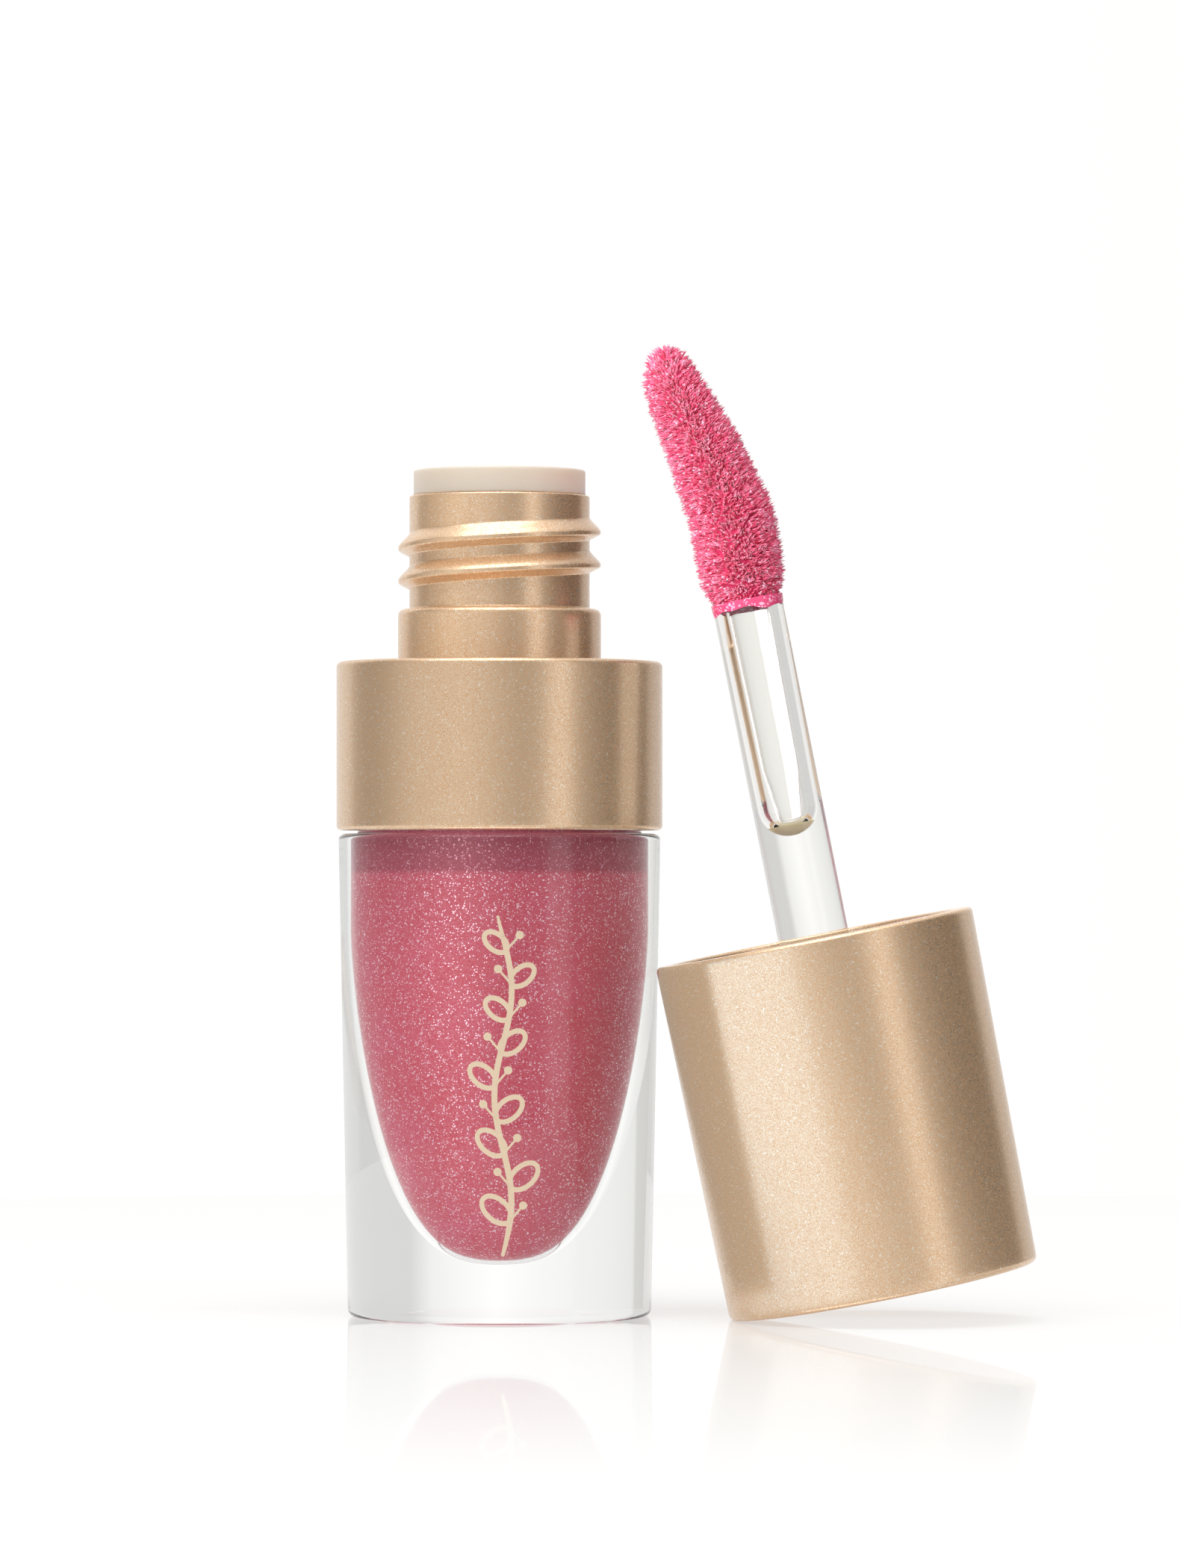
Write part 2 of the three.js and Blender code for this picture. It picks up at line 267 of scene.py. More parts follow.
def thread_swell(wall, rise, start, turns, fade, upper, lower, first_angle=-math.pi):
    """A swell for turned() that raises a right-hand screw ridge on the wall of that radius."""

    def swell(radius, height, angles):
        radii = np.full(len(angles), radius)
        if abs(radius - wall) > 1e-4:
            return radii
        share = np.zeros(len(angles))
        turn0 = ((angles - first_angle) / (2 * math.pi)) % 1
        for lap in range(-1, int(turns) + 2):
            turn = turn0 + lap
            ends = np.clip(np.minimum(turn + fade, turns + fade - turn) / fade, 0, 1)
            offset = height - (start + THREAD_PITCH * turn)
            above = (upper - offset) / (upper - THREAD_CREST)
            below = (offset + lower) / (lower - THREAD_CREST)
            flank = np.clip(np.minimum(above, below), 0, 1)
            soft = 0.55 * flank + 0.45 * flank * flank * (3 - 2 * flank)
            share = np.maximum(share, soft * ends * ends * (3 - 2 * ends))
        return radii + rise * share

    return swell


# ---- Bottle side ---------------------------------------------------------------------------------


def cavity_outline(inset, steps=40):
    """The bullet-shaped cavity from its straight bore to the axis, shrunk by inset."""
    points = []
    for i in range(steps + 1):
        depth = math.sin(i / steps * math.pi / 2)
        share = max(0, 1 - depth**CAVITY_BEND) ** (1 / CAVITY_FULLNESS)
        height = CAVITY_TOP - depth * (CAVITY_TOP - CAVITY_BOTTOM - inset)
        points.append(((CAVITY_RADIUS - inset) * share, height))
    return points


def make_bottle():
    """The thick clear body. The wall that the liquid wets is marked for a second material."""
    outside = rounded(
        [
            (0, 0, 0),
            (BASE_RADIUS, 0, 0.5),
            (BOTTLE_RADIUS, SHOULDER, 0.4),
            (SPIGOT_RADIUS, SHOULDER, 0.1),
            (SPIGOT_RADIUS, SPIGOT_TOP, 0.2),
            (CAVITY_RADIUS, SPIGOT_TOP, 0.2),
            (CAVITY_RADIUS, FILM_TOP, 0),
        ],
        closed=False,
    )
    wall = [(CAVITY_RADIUS, height) for height in between(FILM_TOP, CAVITY_TOP, 12)]
    outline = outside + wall + cavity_outline(0)
    bottle = turned("bottle_clear_body", outline, closed=False, sides=256)
    wet_radius = (CAVITY_RADIUS + 0.01) * MM
    for face in bottle.data.polygons:
        x, y, z = face.center
        wetted = CAVITY_BOTTOM - 0.01 < z / MM < FILM_TOP and math.hypot(x, y) < wet_radius
        face.material_index = 1 if wetted else 0
    return bottle


def make_gloss():
    """The liquid, up to the film of it between the wall and the neck piece's skirt."""
    wall = CAVITY_RADIUS - FILM
    film = SKIRT_RADIUS + FILM
    top = [
        (0, FILL_LEVEL),
        (NECK_BORE, FILL_LEVEL),
        (film, FILL_LEVEL + 0.2),
        (film, FILM_TOP),
        (wall, FILM_TOP),
    ]
    straight = [(wall, height) for height in between(FILM_TOP, CAVITY_TOP, 12)]
    return turned("gloss_liquid", top + straight + cavity_outline(FILM), closed=False, sides=256)


def make_neck():
    ring_inner = SPIGOT_TOP + 0.15
    flange_top = COLLAR_TOP - 1.4
    low = rounded(
        [
            (NECK_BORE, SKIRT_BOTTOM, 0.1),
            (SKIRT_RADIUS, SKIRT_BOTTOM, 0.2),
            (SKIRT_RADIUS, ring_inner, 0.1),
            (FLANGE_RADIUS, ring_inner, 0.1),
            (FLANGE_RADIUS, flange_top, 0.1),
            (RING_RADIUS, flange_top, 0.1),
            (RING_RADIUS, RING_TOP, 0.42),
            (NECK_RADIUS, RING_TOP, 0.12),
            (NECK_RADIUS, NECK_TOP, 0.14),
            (NECK_BORE, NECK_TOP, 0.14),
        ]
    )
    outline = []
    for point, after in zip(low, low[1:] + low[:1]):
        outline.append(point)
        if abs(point[0] - NECK_RADIUS) < 1e-6 and abs(after[0] - NECK_RADIUS) < 1e-6:
            outline.extend((NECK_RADIUS, height) for height in between(point[1], after[1], 150))
    swell = thread_swell(
        NECK_RADIUS, THREAD_RISE, THREAD_START, THREAD_TURNS, THREAD_FADE, upper=0.95, lower=0.52
    )
    return turned("neck_threaded_sleeve", outline, sides=256, swell=swell, sharp=60)


def make_collar():
    return turned(
        "collar_sleeve",
        rounded(
            [
                (COLLAR_BORE, COLLAR_BOTTOM, 0.15),
                (COLLAR_RADIUS, COLLAR_BOTTOM, 0.3),
                (COLLAR_RADIUS, COLLAR_TOP, 0.35),
                (RING_RADIUS + 0.1, COLLAR_TOP, 0.08),
                (RING_RADIUS + 0.1, COLLAR_TOP - COLLAR_TOP_WALL, 0.08),
                (COLLAR_BORE, COLLAR_TOP - COLLAR_TOP_WALL, 0.2),
            ]
        ),
        sides=256,
    )


def make_wiper():
    seat = NECK_TOP + 0.02
    return turned(
        "wiper_plug",
        rounded(
            [
                (WIPER_SKIRT, seat, 0.1),
                (WIPER_RADIUS, seat, 0.08),
                (WIPER_RADIUS, WIPER_TOP, 0.16),
                (WIPER_BORE, WIPER_TOP, 0.3),
                (WIPER_BORE, WIPER_CONE_TOP, 0.3),
                (ORIFICE_RADIUS, ORIFICE_TOP, 0.1),
                (ORIFICE_RADIUS, ORIFICE_TOP - 0.4, 0.1),
                (ORIFICE_RADIUS + 0.4, ORIFICE_TOP - 0.4, 0.1),
                (WIPER_BORE, WIPER_CONE_TOP - 1.2, 0.1),
                (WIPER_BORE, WIPER_BOTTOM, 0.1),
                (WIPER_SKIRT - 0.15, WIPER_BOTTOM, 0.1),
                (WIPER_SKIRT, WIPER_BOTTOM + 0.3, 0.1),
            ]
        ),
    )


# ---- Cap side ------------------------------------------------------------------------------------


def make_cap_shell():
    return turned(
        "cap_outer_shell",
        rounded(
            [
                (0, 0, 0),
                (CAP_END_RADIUS, 0, 0.4),
                (CAP_RADIUS, CAP_LENGTH, 0.3),
                (CAP_RADIUS - CAP_WALL, CAP_LENGTH, 0.2),
                (CAP_END_RADIUS - CAP_WALL, CAP_FLOOR, 0.3),
                (0, CAP_FLOOR, 0),
            ],
            closed=False,
        ),
        CAP_PLACE,
        closed=False,
        sides=256,
    )


def make_inner_cap():
    corners = rounded(
        [
            (0, LINER_BOTTOM, 0),
            (LINER_CORE_INNER, LINER_BOTTOM, 0.1),
            (LINER_CORE_INNER, LINER_CORE_TOP, 0.2),
            (LINER_CORE_OUTER, LINER_CORE_TOP, 0.2),
            (LINER_CORE_OUTER, LINER_BOTTOM, 0.1),
            (LINER_RADIUS, LINER_BOTTOM, 0.1),
            (LINER_RADIUS, LINER_TOP, 0.25),
            (LINER_BORE, LINER_TOP, 0.3),
            (LINER_BORE, LINER_CEILING, 0.15),
            (LINER_SOCKET, LINER_CEILING, 0.1),
            (LINER_SOCKET, LINER_SOCKET_BOTTOM, 0.1),
            (0, LINER_SOCKET_BOTTOM, 0),
        ],
        closed=False,
    )
    outline = []
    for point, after in zip(corners, corners[1:] + corners[-1:]):
        outline.append(point)
        if abs(point[0] - LINER_BORE) < 1e-6 and abs(after[0] - LINER_BORE) < 1e-6:
            outline.extend((LINER_BORE, height) for height in between(point[1], after[1], 110))
    swell = thread_swell(
        LINER_BORE, LINER_THREAD_RISE, LINER_THREAD_START, LINER_THREAD_TURNS, THREAD_FADE,
        upper=0.45, lower=0.45, first_angle=0,
    )
    return turned("cap_inner_liner", outline, CAP_PLACE, closed=False, sides=160, swell=swell, sharp=60)


def make_gasket():
    return turned(
        "cap_sealing_ring",
        rounded(
            [
                (GASKET_BORE, GASKET_BOTTOM, 0.1),
                (GASKET_RADIUS, GASKET_BOTTOM, 0.1),
                (GASKET_RADIUS, GASKET_TOP, 0.15),
                (GASKET_BORE, GASKET_TOP, 0.15),
            ]
        ),
        CAP_PLACE,
        sides=96,
    )


def bore_floor(radius):
    """Height of the bore's rounded bottom in the rod."""
    return ROD_BORE_BOTTOM + ROD_BORE_ROUND * (1 - math.sqrt(max(0, 1 - (radius / ROD_BORE_END) ** 2)))


def make_rod():
    """Clear rod with a blind bore, rounded at its bottom, for the tip's shank."""
    outside = rounded(
        [
            (0, ROD_BOTTOM, 0),
            (ROD_RADIUS, ROD_BOTTOM, 0.15),
            (ROD_TIP_RADIUS, ROD_TOP, 0.12),
            (ROD_BORE, ROD_TOP, 0.06),
            (ROD_BORE_END, ROD_BORE_BOTTOM + ROD_BORE_ROUND, 0),
        ],
        closed=False,
    )
    turns = np.linspace(0, 0.5, 13)[1:] * math.pi
    bottom = [(radius, bore_floor(radius)) for radius in ROD_BORE_END * np.cos(turns)]
    bottom[-1] = (0, ROD_BORE_BOTTOM)
    return turned("applicator_clear_rod", outside + bottom, CAP_PLACE, closed=False, sides=96)


def make_shank():
    """The tip's tapered shank, which shows through the rod."""
    return turned(
        "applicator_tip_shank",
        rounded(
            [
                (0, SHANK_BOTTOM, 0),
                (SHANK_END_RADIUS, SHANK_BOTTOM, 0.2),
                (SHANK_MIDDLE_RADIUS, SHANK_MIDDLE, 0),
                (SHANK_TOP_RADIUS, SHANK_TOP, 0.1),
                (0, SHANK_TOP, 0),
            ],
            closed=False,
        ),
        CAP_PLACE,
        closed=False,
        sides=64,
    )


def make_glue():
    """A drop of glue between the shank's end and the bore's rounded bottom, wetting the bore."""
    outline = []
    for share in np.linspace(0, 1, 9):
        radius = GLUE_RADIUS * share
        outline.append((radius, bore_floor(radius) - 0.02))
    outline.append((GLUE_RADIUS, bore_floor(GLUE_RADIUS) + 0.05))
    outline.append((0.75, SHANK_BOTTOM - 0.03))
    outline.append((0, SHANK_BOTTOM - 0.03))
    return turned("applicator_shank_glue", outline, CAP_PLACE, closed=False, sides=64)


# ---- Doe-foot tip --------------------------------------------------------------------------------


def section_at(heights):
    """Centre offset, half width and half depth of the doe-foot at these heights."""
    table = np.array(DOE_FOOT)
    return [np.interp(heights, table[:, 0], table[:, k]) for k in (1, 2, 3)]


def foot_surface(height, angle, inset):
    """Points of the doe-foot's skin, shrunk by inset."""
    centre, half_width, half_depth = section_at(height)
    x = centre + np.maximum(half_width - inset, 0.02) * np.cos(angle)
    y = np.maximum(half_depth - inset, 0.02) * np.sin(angle)
    return np.stack([x, y, height], axis=-1)


def make_felt():
    """The body of the flock, under its fibres."""
    bottom, top = DOE_FOOT[0][0], DOE_FOOT[-1][0] - FELT_INSET
    sides = 64
    angles = np.arange(sides) / sides * 2 * math.pi
    heights = [bottom, *(bottom + (top - bottom) * np.sin(np.linspace(0.02, 1, 60) * math.pi / 2))]
    vertices = []
    for height in heights:
        vertices.extend(foot_surface(np.full(sides, height), angles, FELT_INSET))
    first = len(vertices)
    vertices.extend([(0, 0, bottom), (DOE_FOOT[-1][1], 0, top + 0.05)])
    faces = []
    for j in range(sides):
        k = (j + 1) % sides
        faces.append((first, k, j))
        for i in range(len(heights) - 1):
            low, high = i * sides, (i + 1) * sides
            faces.append((low + j, low + k, high + k, high + j))
        last = (len(heights) - 1) * sides
        faces.append((last + j, last + k, first + 1))
    return finished("applicator_tip_felt", vertices, faces, CAP_PLACE)


def make_smear():
    """A thin wavy collar of gloss where the flock ends on the rod."""
    sides = 96
    angles = np.arange(sides) / sides * 2 * math.pi
    edge = SMEAR_BOTTOM + 0.12 * np.sin(3 * angles + 1) + 0.07 * np.sin(7 * angles)
    radius = ROD_TIP_RADIUS + 0.03
    top = np.full(sides, FLOCK_BOTTOM + 0.2)
    rings = [
        (radius - 0.02, edge),
        (radius + 0.02, edge + 0.12),
        (radius + 0.05, top),
        (radius - 0.3, top),
    ]
    vertices = []
    for size, heights in rings:
        vertices.extend(zip(size * np.cos(angles), size * np.sin(angles), heights))
    faces = []
    for i in range(len(rings) - 1):
        for j in range(sides):
            k = (j + 1) % sides
            faces.append((i * sides + j, i * sides + k, (i + 1) * sides + k, (i + 1) * sides + j))
    return finished("applicator_tip_smear", vertices, faces, CAP_PLACE, sharp=80)


def scattered_roots(count):
    """Random roots on the doe-foot, even over its skin: heights and angles."""
    bottom, top = DOE_FOOT[0][0] + 0.1, DOE_FOOT[-1][0] - 0.1
    heights = RANDOM.uniform(bottom, top, count * 3)
    _, half_width, _ = section_at(heights)
    kept = RANDOM.uniform(0, 2.7, count * 3) < half_width + 0.35
    heights = heights[kept][:count]
    return heights, RANDOM.uniform(0, 2 * math.pi, len(heights))


def foot_normals(heights, angles):
    """Outward directions on the doe-foot's skin."""
    step = 1e-3
    here = foot_surface(heights, angles, FELT_INSET)
    around = foot_surface(heights, angles + step, FELT_INSET) - here
    up = foot_surface(heights + step, angles, FELT_INSET) - here
    normals = np.cross(around, up)
    return normals / np.linalg.norm(normals, axis=1)[:, None]


def make_fibres():
    """Short tapered fibres, gathered in wet clumps that lean towards the end."""
    heights, angles = scattered_roots(FIBRES)
    roots = foot_surface(heights, angles, FELT_INSET + 0.05)
    normals = foot_normals(heights, angles)
    clump_heights, clump_angles = scattered_roots(CLUMPS)
    clumps = foot_surface(clump_heights, clump_angles, -0.25)
    count = len(roots)
    nearest = []
    for root, normal in zip(roots, normals):
        nearest.append(np.argmin(((clumps - root - 0.5 * normal) ** 2).sum(1)))
    lean = np.array([0, 0, 0.2])
    directions = normals + lean + RANDOM.normal(0, 0.22, (count, 3))
    directions /= np.linalg.norm(directions, axis=1)[:, None]
    grown = np.interp(heights, [FLOCK_BOTTOM, FLOCK_BOTTOM + 1.5], [0.45, 1])
    lengths = RANDOM.uniform(0.45, 0.95, count) * grown
    tips = roots + directions * lengths[:, None]
    pull = RANDOM.uniform(0.2, 0.65, count)[:, None]
    reach = clumps[nearest] - roots
    reach *= (lengths / np.linalg.norm(reach, axis=1))[:, None]
    tips = tips * (1 - pull) + (roots + reach) * pull
    middles = (roots + tips) / 2 + directions * 0.08
    thick = RANDOM.uniform(0, 1, count) < 0.5
    widths = np.where(thick, 0.085, 0.05) * RANDOM.uniform(0.8, 1.2, count)
    vertices = []
    faces = []
    for root, middle, tip, width in zip(roots, middles, tips, widths):
        way = tip - root
        side = np.cross(way, (0.3, 0.5, 0.8))
        side /= np.linalg.norm(side)
        other = np.cross(way, side)
        other /= np.linalg.norm(other)
        first = len(vertices)
        for centre, size in ((root, width), (middle, width * 0.85)):
            for k in range(3):
                turn = 2 * math.pi * k / 3
                vertices.append(centre + size * (math.cos(turn) * side + math.sin(turn) * other))
        vertices.append(tip)
        for k in range(3):
            n = (k + 1) % 3
            faces.append((first + k, first + n, first + 3 + n, first + 3 + k))
            faces.append((first + 3 + k, first + 3 + n, first + 6))
    return finished("applicator_tip_fibres", vertices, faces, CAP_PLACE, sharp=180)


# ---- Printed ornament ----------------------------------------------------------------------------


def bottle_surface(across, height, lift):
    """A point on the bottle's front, across millimetres round its wall from the middle."""
    radius = BASE_RADIUS + (BOTTLE_RADIUS - BASE_RADIUS) * height / SHOULDER + lift
    angle = across / BOTTLE_RADIUS - math.pi / 2
    return (radius * math.cos(angle), radius * math.sin(angle), height)


def stroke(line, widths, vertices, faces):
    """A flat inked line with round ends along points of (across, height), laid on the bottle's wall."""
    line = np.array(line, float)
    ways = np.gradient(line, axis=0)
    ways /= np.linalg.norm(ways, axis=1)[:, None]
    sides = np.stack([-ways[:, 1], ways[:, 0]], axis=1) * np.array(widths)[:, None] / 2
    ends = []
    for tip, way, side in ((line[0], -ways[0], sides[0]), (line[-1], ways[-1], -sides[-1])):
        half = np.linalg.norm(side)
        turns = np.linspace(0, math.pi, 7)[1:-1]
        ends.append([tip + side * math.cos(t) + way * half * math.sin(t) for t in turns])
    ring = [*(line + sides), *ends[1][::-1], *(line - sides)[::-1], *ends[0][::-1]]
    first = len(vertices)
    count = len(ring)
    for lift in (0.0, 0.02):
        vertices.extend(bottle_surface(x, z, lift + 0.004) for x, z in ring)
    for i in range(count):
        k = (i + 1) % count
        faces.append((first + i, first + k, first + count + k, first + count + i))
    # The top and underside are strips across the line, so that they follow the wall's curve.
    points = len(line)
    far = len(ends[1])
    for base in (first, first + count):
        for i in range(points - 1):
            low = base + i
            high = base + 2 * points + far - 1 - i
            faces.append((low, low + 1, high - 1, high))
        faces.append(tuple(base + i for i in range(points - 1, points + far + 1)))
        faces.append(tuple(base + i for i in [*range(2 * points + far - 1, count), 0]))


def make_ornament():
    """A slender climbing sprig with paired leaves and berries, in place of any lettering."""
    vertices = []
    faces = []
    low, high = 4.4, 25.4
    climb = np.linspace(0, 1, 60)
    sway = 0.55 * np.sin(climb * 3.2 * math.pi) + 0.35
    stem = np.stack([sway, low + (high - low) * climb], axis=1)
    stroke(stem, np.interp(climb, [0, 0.1, 0.9, 1], [0.24, 0.4, 0.36, 0.16]), vertices, faces)
    for i, share in enumerate(np.linspace(0.1, 0.9, 9)):
        side = 1 if i % 2 else -1
        foot = np.array([np.interp(share, climb, sway), low + (high - low) * share])
        size = 2.3 - 0.7 * share
        around = np.linspace(0, 1, 25)
        angle = math.radians(52)
        along = size * (1 - np.cos(2 * math.pi * around)) / 2
        belly = 0.3 * size * np.sin(2 * math.pi * around)
        x = side * (along * math.sin(angle) + belly * math.cos(angle))
        z = along * math.cos(angle) - belly * math.sin(angle)
        stroke(foot + np.stack([x, z], axis=1), np.full(len(around), 0.32), vertices, faces)
        berry = foot + np.array([-side * 0.85, 0.95])
        twig = np.array([foot, foot + (berry - foot) * 0.5, berry])
        stroke(twig, [0.16, 0.14, 0.12], vertices, faces)
        dot = np.array([berry - (0.01, 0), berry + (0.01, 0)])
        stroke(dot, [0.52, 0.52], vertices, faces)
    return finished("bottle_printed_sprig", vertices, faces, BOTTLE_PLACE, sharp=50)


# ---- Materials -----------------------------------------------------------------------------------


class Nodes:
    """A short way to write a material's nodes."""

    def __init__(self, name):
        self.material = bpy.data.materials.new(name)
        self.material.use_nodes = True
        self.tree = self.material.node_tree
        self.shader = self.tree.nodes["Principled BSDF"]
        self.output = self.tree.nodes["Material Output"]
        self.place = self.add("ShaderNodeTexCoord").outputs["Object"]

    def add(self, kind, inputs=None, **settings):
        node = self.tree.nodes.new(kind)
        for key, value in settings.items():
            setattr(node, key, value)
        for key, value in (inputs or {}).items():
            self.put(node.inputs[key], value)
        return node

    def put(self, socket, value):
        if isinstance(value, bpy.types.NodeSocket):
            self.tree.links.new(value, socket)
        else:
            socket.default_value = value

    def set(self, **inputs):
        """Sets the Principled shader's inputs, with _ for a space in their names."""
        for key, value in inputs.items():
            self.put(self.shader.inputs[key.replace("_", " ")], value)

    def cells(self, size, randomness=1.0):
        """Random colour per grain of this size in millimetres."""
        inputs = {"Vector": self.place, "Scale": 1 / (size * MM), "Randomness": randomness}
        return self.add("ShaderNodeTexVoronoi", inputs).outputs["Color"]

    def noise(self, size, detail=2.0, roughness=0.5):
        inputs = {"Vector": self.place, "Scale": 1 / (size * MM), "Detail": detail, "Roughness": roughness}
        return self.add("ShaderNodeTexNoise", inputs).outputs["Fac"]

    def channel(self, colour, index):
        return self.add("ShaderNodeSeparateColor", {0: colour}).outputs[index]

    def math(self, operation, *values):
        return self.add("ShaderNodeMath", dict(enumerate(values)), operation=operation).outputs[0]

    def remap(self, value, low, high, to_low, to_high):
        inputs = {0: value, 1: low, 2: high, 3: to_low, 4: to_high}
        return self.add("ShaderNodeMapRange", inputs).outputs[0]

    def mix(self, share, first, second):
        node = self.add("ShaderNodeMix", data_type="RGBA")
        self.put(node.inputs["Factor"], share)
        for socket, value in ((node.inputs[6], first), (node.inputs[7], second)):
            self.put(socket, value if isinstance(value, bpy.types.NodeSocket) else (*value, 1))
        return node.outputs[2]

    def bump(self, height, distance, strength=1.0):
        inputs = {"Height": height, "Distance": distance * MM, "Strength": strength}
        return self.add("ShaderNodeBump", inputs).outputs["Normal"]

    def tilted(self, colour, amount):
        """The surface's normal, turned a little and at random for each grain."""
        normal = self.add("ShaderNodeNewGeometry").outputs["Normal"]
        centred = self.add("ShaderNodeVectorMath", {0: colour, 1: (0.5, 0.5, 0.5)}, operation="SUBTRACT")
        scaled = self.add("ShaderNodeVectorMath", {0: centred.outputs[0], "Scale": amount}, operation="SCALE")
        tipped = self.add("ShaderNodeVectorMath", {0: scaled.outputs[0], 1: normal}, operation="ADD")
        return self.add("ShaderNodeVectorMath", {0: tipped.outputs[0]}, operation="NORMALIZE").outputs[0]

    def let_lamps_through(self, tint):
        """Clear material lets lamps light what is inside it."""
        clear = self.add("ShaderNodeBsdfTransparent", {"Color": (*tint, 1)})
        path = self.add("ShaderNodeLightPath")
        mixed = self.add("ShaderNodeMixShader", {0: path.outputs["Is Shadow Ray"]})
        self.put(mixed.inputs[1], self.shader.outputs[0])
        self.put(mixed.inputs[2], clear.outputs[0])
        self.put(self.output.inputs["Surface"], mixed.outputs[0])


def clear_plastic(name, tint, ior):
    n = Nodes(name)
    n.set(Base_Color=n.mix(n.noise(6), tint, [0.985 * c for c in tint]), IOR=ior, Transmission_Weight=1.0)
    n.set(Roughness=n.remap(n.noise(2.5, 4), 0.35, 0.75, 0.0, 0.025))
    n.let_lamps_through(tint)
    return n.material


def gold_paint():
    """Champagne paint: pale metal flakes in a brown binder, under a smooth clear coat."""
    n = Nodes("gold_flake_paint")
    dust = n.cells(0.03)
    grains = n.cells(0.075)
    flake = n.remap(n.channel(dust, 0), 0.2, 0.6, 0.3, 0.85)
    bright = n.math("GREATER_THAN", n.channel(grains, 1), 0.97)
    pale = n.mix(n.noise(5, 3), (0.88, 0.71, 0.52), (0.92, 0.76, 0.57))
    binder = n.mix(n.noise(0.5, 2), (0.58, 0.22, 0.03), (0.64, 0.27, 0.05))
    paint = n.mix(flake, binder, pale)
    n.set(Base_Color=n.mix(n.math("MULTIPLY", bright, 0.6), paint, (1.0, 0.95, 0.86)), Metallic=flake)
    n.set(Roughness=n.remap(n.channel(grains, 2), 0, 1, 0.26, 0.32))
    n.set(Normal=n.tilted(n.cells(0.04), 0.06), Coat_Weight=0.3, Coat_Roughness=0.05, Coat_IOR=1.45)
    return n.material


def shimmer_gloss():
    """Thick pink liquid with tilted pearl flakes. Where the neck piece's skirt is behind it, liquid and
    flakes are painted darker, as painted shade for the light that the skirt keeps out.
    """
    n = Nodes("pink_shimmer_gloss")
    height = n.add("ShaderNodeSeparateXYZ", {0: n.place}).outputs[2]
    fine = n.cells(0.05)
    coarse = n.cells(0.065)
    clouds = n.remap(n.noise(3.2, 3, 0.6), 0.3, 0.7, 0, 1)
    pale = n.math("MULTIPLY", n.math("POWER", n.channel(fine, 0), 2.5), 0.5)
    body = n.mix(pale, n.mix(clouds, (0.68, 0.05, 0.09), (0.72, 0.075, 0.145)), (0.93, 0.42, 0.54))
    # Painted shade: the darker liquid colours for the band in front of the skirt.
    dark = n.mix(pale, (0.45, 0.045, 0.085), (0.68, 0.22, 0.32))
    skirt_shade_mask = n.remap(height, (SKIRT_BOTTOM - 0.3) * MM, (SKIRT_BOTTOM + 0.1) * MM, 0, 1)
    flake = n.math("GREATER_THAN", n.channel(coarse, 1), 0.93)
    liquid = n.mix(skirt_shade_mask, body, dark)
    # Painted shade: pearl flakes painted darker in the same band.
    pearl = n.mix(skirt_shade_mask, (1.0, 0.7, 0.8), (0.72, 0.32, 0.42))
    n.set(Base_Color=n.mix(flake, liquid, pearl))
    n.set(Metallic=n.remap(flake, 0, 1, 0.12, 0.8), Roughness=n.remap(flake, 0, 1, 0.4, 0.3), IOR=1.5)
    n.set(Normal=n.tilted(fine, 0.3))
    return n.material


def milky_plastic(name, colour, shade, roughness, glow):
    n = Nodes(name)
    n.set(Base_Color=n.mix(n.noise(3), colour, shade))
    n.set(Roughness=n.remap(n.noise(0.4, 3), 0, 1, roughness, roughness + 0.12))
    n.set(Subsurface_Weight=glow, Subsurface_Radius=(1.0, 0.8, 0.6), Subsurface_Scale=0.0012)
    n.set(Normal=n.bump(n.noise(0.25, 3), 0.006, 0.4))
    return n.material


def foam():
    n = Nodes("sealing_foam")
    pores = n.add("ShaderNodeTexVoronoi", {"Vector": n.place, "Scale": 1 / (0.18 * MM)}).outputs["Distance"]
    # Painted shade: the foam is painted a little darker in its pits, where the bump sinks.
    n.set(Base_Color=n.mix(pores, (0.86, 0.85, 0.82), (0.95, 0.94, 0.92)), Roughness=0.85)
    n.set(Normal=n.bump(pores, 0.03, 0.7))
    return n.material


def wet_flock():
    """Nylon fibres wet with gloss: pink, paler on some, with pearl flecks."""
    n = Nodes("wet_pink_flock")
    grains = n.cells(0.13)
    tone = n.mix(n.channel(grains, 0), (0.78, 0.04, 0.14), (1.0, 0.27, 0.42))
    tone = n.mix(n.remap(n.noise(0.5, 3), 0.5, 0.75, 0, 0.8), tone, (1.0, 0.56, 0.72))
    fleck = n.math("GREATER_THAN", n.channel(grains, 1), 0.93)
    n.set(Base_Color=n.mix(n.math("MULTIPLY", fleck, 0.85), tone, (1.0, 0.9, 1.0)))
    n.set(Roughness=n.remap(n.channel(grains, 2), 0, 1, 0.3, 0.5), Specular_IOR_Level=0.2)
    return n.material


def shaded_felt():
    n = Nodes("wet_pink_felt")
    # Painted shade: the felt is painted darker than the fibres, for the shade in the gaps between them.
    n.set(Base_Color=n.mix(n.noise(0.3, 4), (0.5, 0.02, 0.09), (0.7, 0.06, 0.18)), Roughness=0.5)
    n.set(Normal=n.bump(n.noise(0.15, 3), 0.08, 0.8), Specular_IOR_Level=0.2)
    return n.material


def wet_smear():
    """Gloss wiped off on the rod's end, with pearl flecks."""
    n = Nodes("wet_pink_smear")
    grains = n.cells(0.1)
    fleck = n.math("GREATER_THAN", n.channel(grains, 1), 0.85)
    n.set(Base_Color=n.mix(fleck, (0.72, 0.08, 0.2), (0.95, 0.5, 0.66)), Roughness=0.25, IOR=1.45)
    n.set(Subsurface_Weight=0.3, Subsurface_Radius=(1.0, 0.5, 0.6), Subsurface_Scale=0.0004)
    return n.material


